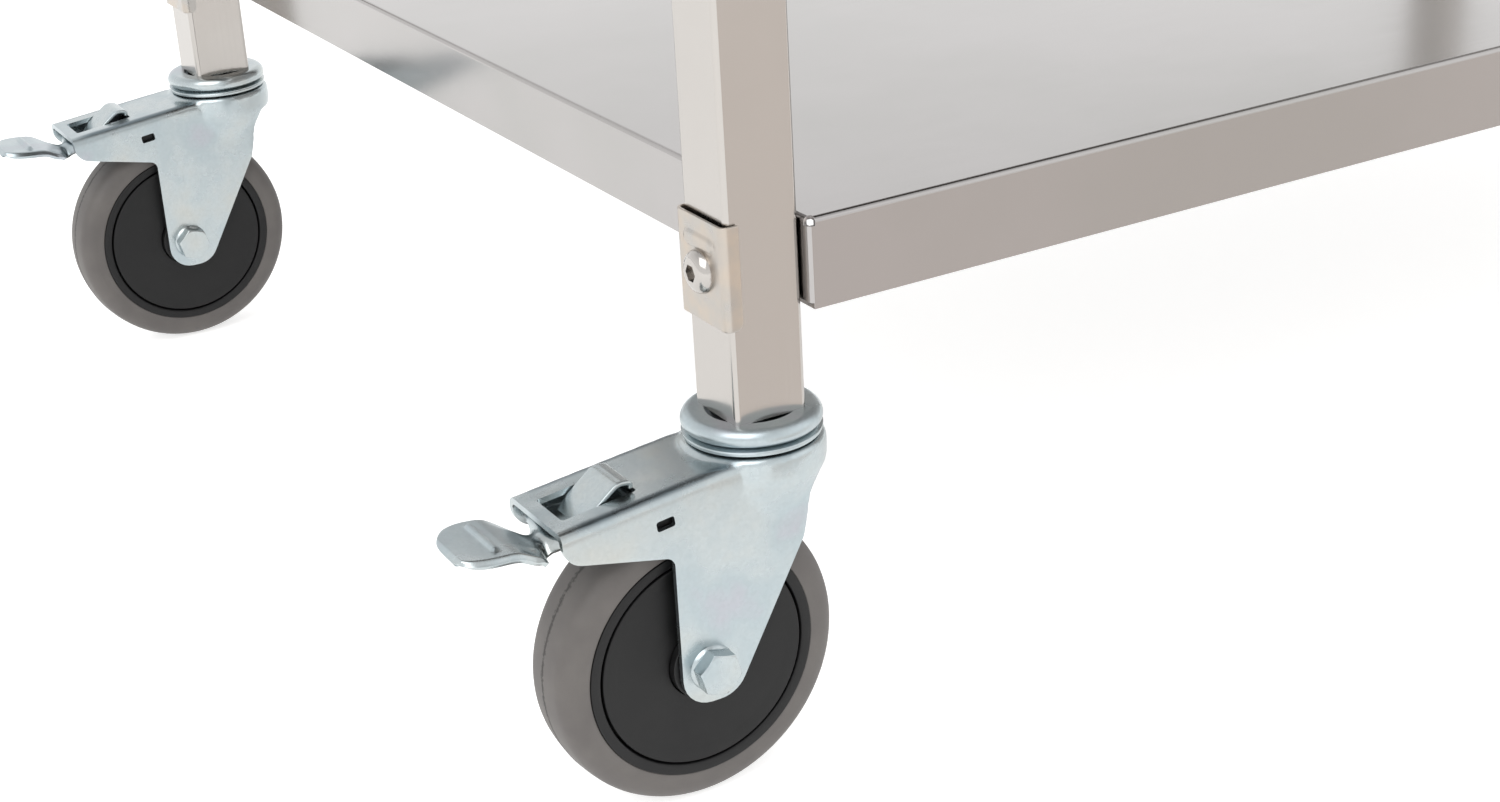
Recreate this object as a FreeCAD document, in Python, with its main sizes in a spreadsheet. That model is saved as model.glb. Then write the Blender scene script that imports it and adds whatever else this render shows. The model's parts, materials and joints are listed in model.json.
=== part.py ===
import FreeCAD, Part
import math
import os
import re

import Sketcher

# Stainless kitchen island cart: a worktop and two shelves on four square legs, each leg on a braked
# swivel caster. Millimetres, +Z up, +X along the length, front towards -Y, origin on the floor under
# the middle of the worktop. Front left is the corner at -X, -Y.

SIZES = [
    # overall: the worktop hangs past the legs
    ("leg_span_x", 800), ("leg_span_y", 495), ("overhang_x", 57), ("overhang_y", 57.5),
    ("top_height", 900), ("top_sheet", 1.5), ("top_edge", 38),
    # legs
    ("leg_width", 25.4), ("leg_wall", 1.2), ("leg_round", 2), ("foot_rise", 25.3),
    # shelves: bent pans whose ends lie against the inner faces of the legs
    ("low_shelf_rise", 62.2), ("mid_shelf_height", 520), ("shelf_sheet", 1.2), ("shelf_proud", 4.5),
    ("shelf_edge", 29), ("shelf_end_edge", 27), ("shelf_lip", 9), ("shelf_bend", 1.8),
    ("shelf_relief", 2.6), ("shelf_gap", 0.3),
    # channels and stiffener under the worktop
    ("channel_wall", 1.5), ("channel_drop", 32), ("channel_past", 19.8), ("channel_fit", 0.15),
    ("stiffener_width", 60), ("stiffener_drop", 25),
    # clips, bolts and nuts of the frame
    ("clip_sheet", 1.2), ("clip_tall", 33), ("clip_above", 2), ("clip_wrap", 4), ("clip_bend", 1.9),
    ("clip_rib_long", 16.3), ("clip_rib_tall", 4.2), ("clip_rib_proud", 0.6), ("clip_rib_down", 7.5),
    ("bolt_down", 14.9), ("channel_bolt_down", 17), ("bolt_shank", 4), ("hole_gap", 0.2), ("bolt_past", 0.4),
    ("bolt_head", 7), ("bolt_head_tall", 4.4), ("bolt_head_round", 3.6), ("bolt_socket", 5),
    ("bolt_socket_deep", 2.6), ("bolt_tip", 0.9), ("nut_across", 13), ("nut_tall", 6.5), ("thread_gap", 0.05),
    ("hex_land", 0.2), ("hex_reach", 1.4), ("hex_chamfer", 0.9),
    # swivel: cup, stem and balls stay with the leg
    ("cup_past", 9.6), ("cup_seat", 3.5), ("cup_dish", 1.8), ("cup_gap", 0.6), ("cup_wall", 2.4),
    ("cup_shoulder", 3.4), ("cup_shoulder_round", 2), ("cup_lip", 2), ("cup_lip_bevel", 0.8),
    ("ball_radius", 2), ("ball_room", 1.1), ("ball_count", 16), ("stem_radius", 5), ("stem_head", 9),
    ("stem_head_tall", 3), ("stem_screw", 6), ("stem_bevel", 1), ("insert_fit", 0.05), ("insert_tall", 26),
    ("swivel_gap", 0.3), ("running_fit", 0.05),
    # fork: heights are above or below the top of the wheel
    ("fork_wide", 36), ("fork_sheet", 2), ("fork_rise", 16.5), ("drum_flare", 5), ("drum_skirt_rise", 7.5),
    ("drum_foot_drop", 5), ("drum_inset", 0.1), ("drum_step", 0.5), ("drum_skirt_rim", 2), ("drum_open", 8),
    ("drum_round", 2.2), ("fold_round", 3), ("fold_overlap", 0.11), ("arm_reach", 76), ("arm_tip_rise", 9),
    ("arm_root_rise", 15), ("arm_root", 21), ("arm_tip_depth", 9.6), ("arm_low_drop", 8.9),
    ("cheek_front", 10.4), ("cheek_foot", 12), ("cheek_foot_back", 8.5), ("cheek_back", 35.2),
    ("cheek_back_drop", 15), ("cheek_top_back", 14.8), ("cheek_round", 10), ("arm_corner", 7.5),
    ("crotch_round", 3.5), ("slot_start", 71.3), ("slot_end", 45.9), ("slot_gap", 0.5),
    ("window_past", 2.2), ("window_fit", 0.3),
    # wheel
    ("wheel_radius", 50), ("trail", 29), ("tyre_step", 0.4), ("tyre_round", 6.5), ("hub_radius", 39.5),
    ("hub_wide", 25.2), ("rim_wall", 3.4), ("rim_bevel", 0.85), ("web_thick", 7), ("boss_radius", 12),
    ("boss_gap", 0.8), ("cover_gap", 0.7), ("cover_sheet", 1.4), ("cover_fit", 0.3), ("cover_edge", 0.5),
    ("sleeve_radius", 6), ("sleeve_fit", 0.1), ("axle_fit", 0.1), ("axle_across", 13),
    ("axle_head_tall", 5.2), ("axle_flange", 7.7), ("axle_flange_tall", 1), ("axle_past_nut", 2.5),
    # brake: pedal, release tab and shoe turn together on the pin
    ("pin_back", 41.4), ("pin_rise", 3.2), ("pin_radius", 2), ("eye_wall", 1.6), ("lever_gap", 3),
    ("lever_start", 74.5), ("lever_sheet", 2), ("lever_rise", 2.8), ("pedal_reach", 107.2),
    ("pedal_half", 15.5), ("pedal_tip_half", 9), ("pedal_tip", 6), ("pedal_neck_half", 5), ("pedal_neck", 78),
    ("pedal_neck_end", 76), ("pedal_shoulder", 82), ("pedal_corner", 5), ("pedal_rise", 3.6),
    ("lever_bend", 77), ("rib_half", 10), ("rib_back", 92),
    ("rib_wide", 2.6), ("rib_tall", 1), ("tab_half", 8.3), ("tab_back", 65.5), ("tab_knee", 56.5),
    ("tab_knee_drop", 1.9), ("tab_crest", 52.5), ("tab_end", 46.6), ("tab_curl", 2.4), ("tab_foot", 2.1),
    ("tab_rise", 15.3),
    ("tab_sheet", 1.5), ("shoe_start", 60), ("shoe_end", 52), ("shoe_drop", 2), ("shoe_half", 9),
    # how far a cut runs past the face it opens
    ("past", 1),
]

# sizes worked out from the ones above
WORKED_OUT = {
    "wheel_top": "2 * wheel_radius",
    "top_length": "leg_span_x + 2 * overhang_x",
    "top_depth": "leg_span_y + 2 * overhang_y",
    "leg_foot": "wheel_top + foot_rise",
    "leg_top": "top_height - top_sheet - channel_wall",
    "low_shelf_height": "leg_foot + low_shelf_rise",
    "shelf_half_x": "leg_span_x / 2 - leg_width / 2 - shelf_gap",
    "shelf_half_y": "leg_span_y / 2 + leg_width / 2 + shelf_proud",
    "channel_half": "leg_width / 2 + channel_fit + channel_wall",
    "channel_length": "leg_span_y + leg_width + 2 * channel_past",
    "channel_bolt_height": "top_height - top_sheet - channel_bolt_down",
    "clip_outer": "leg_width / 2 + clip_sheet",
    "shelf_inner": "leg_width / 2 + shelf_gap + shelf_sheet",
    "bolt_hole": "bolt_shank + hole_gap",
    "bolt_length": "clip_outer + shelf_inner + nut_tall + bolt_past",
    "nut_hole": "bolt_shank + thread_gap",
    "cup_radius": "leg_width / 2 + cup_past",
    "cup_ring": "leg_width / 2 + cup_seat",
    "cup_low": "fork_top + cup_gap",
    "cup_ceiling": "fork_top + swivel_gap + 2 * ball_radius",
    "ball_ring": "cup_radius - cup_wall - ball_radius - ball_room",
    "stem_head_top": "fork_top - fork_sheet - swivel_gap",
    "fork_top": "wheel_top + fork_rise",
    "fork_half": "fork_wide / 2",
    "fork_inner": "fork_half - fork_sheet",
    "drum_radius": "fork_half + drum_flare",
    "drum_inner": "drum_radius - fork_sheet",
    "drum_skirt": "wheel_top + drum_skirt_rise",
    "drum_foot": "wheel_top - drum_foot_drop",
    "arm_tip_height": "wheel_top + arm_tip_rise",
    "arm_root_height": "wheel_top + arm_root_rise",
    "arm_low_height": "wheel_top - arm_low_drop",
    "cheek_low": "wheel_radius - cheek_foot",
    "cheek_back_height": "wheel_top - cheek_back_drop",
    "window_long": "2 * pin_radius + window_past",
    "window_tall": "2 * pin_radius + window_fit",
    "tyre_half": "hub_wide / 2 - tyre_step",
    "rim_inner": "hub_radius - rim_wall",
    "boss_half": "fork_inner - boss_gap",
    "cover_radius": "rim_inner - cover_gap",
    "cover_hole": "boss_radius + cover_fit",
    "axle_head": "fork_half + axle_flange_tall",
    "axle_end": "fork_half + nut_tall + axle_past_nut",
    "pin_height": "wheel_top + pin_rise",
    "lever_half": "fork_inner - lever_gap",
    "lever_low": "wheel_top + lever_rise",
    "lever_top": "lever_low + lever_sheet",
    "rib_rise": "pedal_rise * (rib_back - lever_bend) / (pedal_reach - lever_bend)",
    "tab_top": "wheel_top + tab_rise",
    "tab_under": "tab_top - tab_sheet",
    "shoe_low": "wheel_top - shoe_drop",
}


doc = FreeCAD.newDocument("kitchen_island_cart")
sheet = doc.addObject("Spreadsheet::Sheet", "Sizes")
for row, (alias, number) in enumerate(SIZES, start=1):
    sheet.set("A%d" % row, alias)
    sheet.set("B%d" % row, str(number))
    sheet.setAlias("B%d" % row, alias)
doc.recompute()

ALIASES = set(alias for alias, number in SIZES)
nodes = []


def point_at_sheet(word):
    if word[0] in WORKED_OUT:
        return "(%s)" % bound(WORKED_OUT[word[0]])
    return "Sizes." + word[0] if word[0] in ALIASES else word[0]


def bound(text):
    """A size expression with each alias pointed at the sheet."""
    return re.sub(r"[a-z_]+", point_at_sheet, str(text))


def value(text):
    return float(sheet.evalExpression(bound(text)))


def make_body(label, node=True):
    body = doc.addObject("PartDesign::Body", label)
    body.Label = label
    if node:
        nodes.append(body)
    return body


def place(item, x, y, z, turn=0):
    """Turns the piece about Z, then moves it; the place follows the sheet."""
    item.Placement = FreeCAD.Placement(FreeCAD.Vector(), FreeCAD.Rotation(FreeCAD.Vector(0, 0, 1), turn))
    for axis, text in zip("xyz", (x, y, z)):
        item.setExpression("Placement.Base." + axis, bound(text))


def box(body, kind, x, y, z):
    """An additive or subtractive box between the low and high ends given on each axis."""
    block = body.newObject("PartDesign::%sBox" % kind, kind + "Box")
    for side, axis, (low, high) in zip(("Length", "Width", "Height"), "xyz", (x, y, z)):
        block.setExpression(side, bound("(%s) - (%s)" % (high, low)))
        block.setExpression("Placement.Base." + axis, bound(low))
    return block


X, Y, Z = FreeCAD.Vector(1, 0, 0), FreeCAD.Vector(0, 1, 0), FreeCAD.Vector(0, 0, 1)
AIM = {"x": (Y, 90), "y": (X, -90), "z": (Z, 0)}


def rod(body, kind, axis, start, radius, length):
    """An additive or subtractive cylinder that starts at a point and runs along +axis."""
    cylinder = body.newObject("PartDesign::%sCylinder" % kind, kind + "Cylinder")
    cylinder.Placement = FreeCAD.Placement(FreeCAD.Vector(), FreeCAD.Rotation(*AIM[axis]))
    for name, text in zip("xyz", start):
        cylinder.setExpression("Placement.Base." + name, bound(text))
    cylinder.setExpression("Radius", bound(radius))
    cylinder.setExpression("Height", bound(length))
    return cylinder


def sketch_on(body, plane, raised="0"):
    drawing = body.newObject("Sketcher::SketchObject", "Outline")
    support = [item for item in body.Origin.OriginFeatures if item.Role == plane][0]
    drawing.AttachmentSupport = (support, [""])
    drawing.MapMode = "FlatFace"
    drawing.setExpression(".AttachmentOffset.Base.z", bound(raised))
    return drawing


def tie(drawing, kind, geometry, point, text):
    """Holds a point's distance from the origin to a size expression."""
    index = drawing.addConstraint(Sketcher.Constraint(kind, -1, 1, geometry, point, value(text)))
    drawing.setExpression("Constraints[%d]" % index, bound(text))


def outline(drawing, corners):
    """A closed outline of straight lines whose corners are size expressions."""
    points = [FreeCAD.Vector(value(across), value(up), 0) for across, up in corners]
    count = len(points)
    for index in range(count):
        drawing.addGeometry(Part.LineSegment(points[index], points[(index + 1) % count]), False)
    for index in range(count):
        drawing.addConstraint(Sketcher.Constraint("Coincident", index, 2, (index + 1) % count, 1))
        tie(drawing, "DistanceX", index, 1, corners[index][0])
        tie(drawing, "DistanceY", index, 1, corners[index][1])


def extrude(body, kind, plane, corners, length, raised="0", middle=True):
    """A pad or pocket of an outline, to both sides of its plane or to one."""
    drawing = sketch_on(body, plane, raised)
    outline(drawing, corners)
    feature = body.newObject("PartDesign::" + kind, kind)
    feature.Profile = drawing
    feature.SideType = "Symmetric" if middle else "One side"
    feature.setExpression("Length", bound(length))
    return feature


def spin(body, kind, plane, corners, axis):
    """A full turn of an outline about one axis of its sketch."""
    drawing = sketch_on(body, plane)
    outline(drawing, corners)
    feature = body.newObject("PartDesign::" + kind, kind)
    feature.Profile = drawing
    feature.ReferenceAxis = (drawing, [axis])
    feature.Angle = 360
    return feature


def edges_near(shape, direction, points, reach=0.6):
    """Names of the straight edges along a direction that pass within reach of a point."""
    names = []
    for number, edge in enumerate(shape.Edges, start=1):
        if not isinstance(edge.Curve, Part.Line):
            continue
        along = abs(edge.tangentAt(edge.FirstParameter) * direction) > 0.999
        if along and any(edge.distToShape(Part.Vertex(point))[0] < reach for point in points):
            names.append("Edge%d" % number)
    return names


def rings_near(shape, places, reach=0.3):
    """Names of the circular edges at given radii and places along their axis, which is X, Y or Z."""
    names = []
    for number, edge in enumerate(shape.Edges, start=1):
        if not isinstance(edge.Curve, Part.Circle):
            continue
        axis = edge.Curve.Axis
        along = edge.Curve.Center * FreeCAD.Vector(abs(axis.x), abs(axis.y), abs(axis.z))
        for radius, level in places:
            if abs(edge.Curve.Radius - radius) < reach and abs(along - level) < reach:
                names.append("Edge%d" % number)
    return names


def finish_edges(body, kind, names, size):
    """A fillet or chamfer on named edges of the body as it stands."""
    if not names:
        raise RuntimeError(body.Label + ": no edges found for its " + kind)
    base = body.Tip
    feature = body.newObject("PartDesign::" + kind, kind)
    feature.Base = (base, names)
    feature.setExpression("Radius" if kind == "Fillet" else "Size", bound(size))
    doc.recompute()
    return feature


def group(label, master, places):
    """One node of separate copies of a finished piece; each place is x, y, z and a turn about Z."""
    copies = []
    for x, y, z, turn in places:
        copy = master.Shape.copy()
        spot = FreeCAD.Vector(value(x), value(y), value(z))
        copy.Placement = FreeCAD.Placement(spot, FreeCAD.Rotation(FreeCAD.Vector(0, 0, 1), turn))
        copies.append(copy)
    feature = doc.addObject("Part::Feature", label)
    feature.Label = label
    feature.Shape = Part.makeCompound(copies)
    nodes.append(feature)


def vector(x, y, z):
    return FreeCAD.Vector(value(x), value(y), value(z))


CORNERS = [("front_left", -1, -1), ("front_right", 1, -1), ("rear_left", -1, 1), ("rear_right", 1, 1)]

# ---- worktop and what carries it ----

def both_ways(side, near, far):
    """The low and high ends of a stretch from near to far on the given side of the middle."""
    return ("%s" % near, "%s" % far) if side > 0 else ("-(%s)" % far, "-(%s)" % near)


def make_pan(label, half_x, half_y, height, sheet_size, front, end, lip, bend):
    """A sheet bent down on four sides, its long edges turned in again at the bottom."""
    body = make_body(label)
    box(body, "Additive", ("-" + half_x, half_x), ("-" + half_y, half_y), ("-" + front, "0"))
    inner_x, inner_y = "(%s - %s)" % (half_x, sheet_size), "(%s - %s)" % (half_y, sheet_size)
    doc.recompute()
    names = edges_near(body.Tip.Shape, Y, [vector(sign + half_x, "0", "0") for sign in ("", "-")])
    names += edges_near(body.Tip.Shape, X, [vector("0", sign + half_y, "0") for sign in ("", "-")])
    posts = [vector(sx + half_x, sy + half_y, "-" + bend) for sx in ("", "-") for sy in ("", "-")]
    names += edges_near(body.Tip.Shape, Z, posts)
    finish_edges(body, "Fillet", names, bend)
    lip_y = "(%s - %s)" % (inner_y, lip)
    across = ("-" + inner_x, inner_x)
    box(body, "Subtractive", across, ("-" + lip_y, lip_y), ("-%s - past" % front, "-" + sheet_size))
    for side in (-1, 1):
        box(body, "Subtractive", across, both_ways(side, lip_y, inner_y),
            ("-%s + %s" % (front, sheet_size), "-" + sheet_size))
    for side in (-1, 1):
        box(body, "Subtractive", both_ways(side, inner_x, half_x + " + past"),
            ("-%s - past" % half_y, half_y + " + past"), ("-%s - past" % front, "-" + end))
    place(body, "0", "0", height)
    return body


def make_worktop():
    make_pan("worktop", "(top_length / 2)", "(top_depth / 2)", "top_height", "top_sheet", "top_edge",
             "top_edge", "shelf_lip", "shelf_bend")


def make_shelf(label, height):
    body = make_pan(label, "shelf_half_x", "shelf_half_y", height, "shelf_sheet", "shelf_edge",
                    "shelf_end_edge", "shelf_lip", "shelf_bend")
    for name, side_x, side_y in CORNERS:
        box(body, "Subtractive", both_ways(side_x, "shelf_half_x - shelf_relief", "shelf_half_x + past"),
            both_ways(side_y, "shelf_half_y - shelf_relief", "shelf_half_y + past"),
            ("-shelf_relief", "past"))
    for side_y in (-1, 1):
        start = ("-shelf_half_x - past", "%d * leg_span_y / 2" % side_y, "-bolt_down")
        rod(body, "Subtractive", "x", start, "bolt_hole", "2 * (shelf_half_x + past)")


def make_channels():
    """Two channels across the underside of the worktop; the leg tops stand inside them."""
    master = make_body("channel_piece", node=False)
    box(master, "Additive", ("-channel_half", "channel_half"), ("-channel_length / 2", "channel_length / 2"),
        ("-channel_drop", "0"))
    doc.recompute()
    rims = [vector(sign + "channel_half", "0", "0") for sign in ("", "-")]
    finish_edges(master, "Fillet", edges_near(master.Tip.Shape, Y, rims), "channel_wall")
    inner = "(channel_half - channel_wall)"
    along = ("-channel_length / 2 - past", "channel_length / 2 + past")
    box(master, "Subtractive", ("-" + inner, inner), along, ("-channel_drop - past", "-channel_wall"))
    for side in (-1, 1):
        start = ("-channel_half - past", "%d * leg_span_y / 2" % side, "-channel_bolt_down")
        rod(master, "Subtractive", "x", start, "bolt_hole", "2 * (channel_half + past)")
    doc.recompute()
    level = "top_height - top_sheet"
    group("worktop_channels", master, [("-leg_span_x / 2", "0", level, 0), ("leg_span_x / 2", "0", level, 0)])


def make_stiffener():
    """A hat rail along the middle of the worktop, from one channel to the other."""
    body = make_body("worktop_stiffener")
    reach = "(leg_span_x / 2 - channel_half)"
    half = "(stiffener_width / 2)"
    box(body, "Additive", ("-" + reach, reach), ("-" + half, half), ("-stiffener_drop", "0"))
    box(body, "Subtractive", ("-%s - past" % reach, reach + " + past"),
        ("-%s + channel_wall" % half, half + " - channel_wall"), ("-stiffener_drop + channel_wall", "past"))
    place(body, "0", "0", "top_height - top_sheet")


# ---- legs, clips and fasteners ----

def make_leg(name, side_x, side_y):
    body = make_body(name + "_leg")
    half = "leg_width / 2"
    box(body, "Additive", ("-" + half, half), ("-" + half, half), ("leg_foot", "leg_top"))
    doc.recompute()
    posts = [vector(sx + half, sy + half, "low_shelf_height") for sx in ("", "-") for sy in ("", "-")]
    finish_edges(body, "Fillet", edges_near(body.Tip.Shape, Z, posts), "leg_round")
    inner = "(leg_width / 2 - leg_wall)"
    box(body, "Subtractive", ("-" + inner, inner), ("-" + inner, inner),
        ("leg_foot - past", "leg_top + past"))
    for level in ("low_shelf_height - bolt_down", "mid_shelf_height - bolt_down", "channel_bolt_height"):
        rod(body, "Subtractive", "x", ("-leg_width", "0", level), "bolt_hole", "2 * leg_width")
    place(body, "%d * leg_span_x / 2" % side_x, "%d * leg_span_y / 2" % side_y, "0")


def make_clips():
    """A bent plate on the outer face of each leg at each shelf; its lips hold the leg's sides."""
    master = make_body("clip_piece", node=False)
    half = "leg_width / 2"
    box(master, "Additive", ("-clip_outer", "-%s + clip_wrap" % half), ("-clip_outer", "clip_outer"),
        ("0", "clip_tall"))
    doc.recompute()
    posts = [vector("-clip_outer", sign + "clip_outer", "clip_tall / 2") for sign in ("", "-")]
    finish_edges(master, "Fillet", edges_near(master.Tip.Shape, Z, posts), "clip_bend")
    rib_low = "clip_tall - clip_rib_down - clip_rib_tall / 2"
    box(master, "Additive", ("-clip_outer - clip_rib_proud", "-clip_outer"),
        ("-clip_rib_long / 2", "clip_rib_long / 2"), (rib_low, rib_low + " + clip_rib_tall"))
    box(master, "Subtractive", ("-" + half, "clip_wrap + past"), ("-" + half, half),
        ("-past", "clip_tall + past"))
    rod(master, "Subtractive", "x", ("-leg_width", "0", "clip_tall - clip_above - bolt_down"), "bolt_hole",
        "leg_width")
    doc.recompute()
    places = []
    for shelf in ("low_shelf_height", "mid_shelf_height"):
        for name, side_x, side_y in CORNERS:
            places.append(("%d * leg_span_x / 2" % side_x, "%d * leg_span_y / 2" % side_y,
                           shelf + " + clip_above - clip_tall", 0 if side_x < 0 else 180))
    group("shelf_clips", master, places)


def hexagon(across):
    """Corners of a hexagon by its width across the flats."""
    angles = [math.radians(60 * step) for step in range(6)]
    return [("%.6f * %s" % (math.cos(angle) / math.sqrt(3), across),
             "%.6f * %s" % (math.sin(angle) / math.sqrt(3), across)) for angle in angles]


def chamfer_hexagon(body, plane, across, face, inward):
    """Cuts a hexagon's corners back with a shallow cone at one end face; inward points into the metal."""
    land = "%s / 2 - hex_land" % across
    reach = "%s / 2 + hex_reach" % across
    deep = "%s + %d * hex_chamfer" % (face, inward)
    spin(body, "Groove", plane, [(face, land), (face, reach), (deep, reach)], "H_Axis")


def frame_joints():
    """Where each frame bolt's head seats, with the inner face that its nut meets."""
    seats = []
    for level, out, inside in (("low_shelf_height - bolt_down", "clip_outer", "shelf_inner"),
                               ("mid_shelf_height - bolt_down", "clip_outer", "shelf_inner"),
                               ("channel_bolt_height", "channel_half", "channel_half")):
        for name, side_x, side_y in CORNERS:
            y = "%d * leg_span_y / 2" % side_y
            turn = 0 if side_x < 0 else 180
            head = "%d * (leg_span_x / 2 + %s)" % (side_x, out)
            nut = "%d * (leg_span_x / 2 - %s)" % (side_x, inside)
            seats.append((head, nut, y, level, turn))
    return seats


def make_frame_bolts():
    """Button head bolts with a hexagon socket; the head seats at X = 0 and the shank runs along +X."""
    master = make_body("bolt_piece", node=False)
    spin(master, "Revolution", "XZ_Plane", [
        ("-bolt_head_tall", "0"), ("-bolt_head_tall", "bolt_head"), ("0", "bolt_head"), ("0", "bolt_shank"),
        ("bolt_length - bolt_tip", "bolt_shank"), ("bolt_length", "bolt_shank - bolt_tip"),
        ("bolt_length", "0")], "H_Axis")
    doc.recompute()
    rim = rings_near(master.Tip.Shape, [(value("bolt_head"), -value("bolt_head_tall"))])
    finish_edges(master, "Fillet", rim, "bolt_head_round")
    extrude(master, "Pocket", "YZ_Plane", hexagon("bolt_socket"), "bolt_socket_deep + past",
            raised="-bolt_head_tall - past", middle=False).Reversed = True
    doc.recompute()
    group("frame_bolts", master, [(head, y, level, turn) for head, nut, y, level, turn in frame_joints()])


def make_frame_nuts():
    master = make_body("nut_piece", node=False)
    extrude(master, "Pad", "YZ_Plane", hexagon("nut_across"), "nut_tall", middle=False)
    rod(master, "Subtractive", "x", ("-past", "0", "0"), "nut_hole", "nut_tall + 2 * past")
    chamfer_hexagon(master, "XZ_Plane", "nut_across", "nut_tall", -1)
    doc.recompute()
    group("frame_nuts", master, [(nut, y, level, turn) for head, nut, y, level, turn in frame_joints()])


# ---- swivel parts that stay with the legs ----

def leg_places():
    return [("%d * leg_span_x / 2" % side_x, "%d * leg_span_y / 2" % side_y, "0", 0 if side_x < 0 else 180)
            for name, side_x, side_y in CORNERS]


def make_leg_inserts():
    """Square plugs inside the leg ends, tapped for the caster stems."""
    master = make_body("insert_piece", node=False)
    half = "(leg_width / 2 - leg_wall - insert_fit)"
    box(master, "Additive", ("-" + half, half), ("-" + half, half), ("leg_foot", "leg_foot + insert_tall"))
    rod(master, "Subtractive", "z", ("0", "0", "leg_foot - past"), "stem_screw", "insert_tall + 2 * past")
    doc.recompute()
    group("leg_inserts", master, leg_places())


def make_swivel_cups():
    """The pressed cup under each leg; it holds the balls down on the fork."""
    master = make_body("cup_piece", node=False)
    spin(master, "Revolution", "XZ_Plane", [
        ("stem_radius", "cup_ceiling"), ("stem_radius", "leg_foot - cup_dish"),
        ("cup_ring - cup_dish - cup_lip_bevel", "leg_foot - cup_dish"),
        ("cup_ring - cup_lip_bevel", "leg_foot"),
        ("cup_radius - cup_shoulder", "leg_foot"), ("cup_radius", "leg_foot - cup_shoulder"),
        ("cup_radius", "cup_low + cup_lip"), ("cup_radius - cup_lip_bevel", "cup_low"),
        ("cup_radius - cup_wall", "cup_low"), ("cup_radius - cup_wall", "cup_ceiling")], "V_Axis")
    doc.recompute()
    rings = rings_near(master.Tip.Shape, [
        (value("cup_radius - cup_shoulder"), value("leg_foot")),
        (value("cup_radius"), value("leg_foot - cup_shoulder"))])
    finish_edges(master, "Fillet", rings, "cup_shoulder_round")
    group("swivel_cups", master, leg_places())


def make_caster_stems():
    """Each stem hangs the fork by its head and screws up into the leg's plug."""
    master = make_body("stem_piece", node=False)
    spin(master, "Revolution", "XZ_Plane", [
        ("0", "stem_head_top - stem_head_tall"), ("stem_head - stem_bevel", "stem_head_top - stem_head_tall"),
        ("stem_head", "stem_head_top - stem_head_tall + stem_bevel"), ("stem_head", "stem_head_top"),
        ("stem_radius", "stem_head_top"), ("stem_radius", "leg_foot - cup_dish"),
        ("stem_screw", "leg_foot - cup_dish"), ("stem_screw", "leg_foot + insert_tall - stem_bevel"),
        ("stem_screw - stem_bevel", "leg_foot + insert_tall"), ("0", "leg_foot + insert_tall")], "V_Axis")
    doc.recompute()
    group("caster_stems", master, leg_places())


def make_swivel_balls():
    """A ring of balls in each cup, just clear of the fork's top."""
    master = make_body("ball_piece", node=False)
    ball = master.newObject("PartDesign::AdditiveSphere", "AdditiveSphere")
    ball.setExpression("Radius", bound("ball_radius"))
    doc.recompute()
    places = []
    count = int(value("ball_count"))
    for x, y, z, turn in leg_places():
        for step in range(count):
            angle = 2 * math.pi * step / count
            across = "%s + ball_ring * %.6f" % (x, math.cos(angle))
            along = "%s + ball_ring * %.6f" % (y, math.sin(angle))
            places.append((across, along, "fork_top + swivel_gap + ball_radius", 0))
    group("swivel_balls", master, places)


# ---- caster pieces, drawn with the swivel axis at the origin and the brake arm towards -X ----

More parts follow.
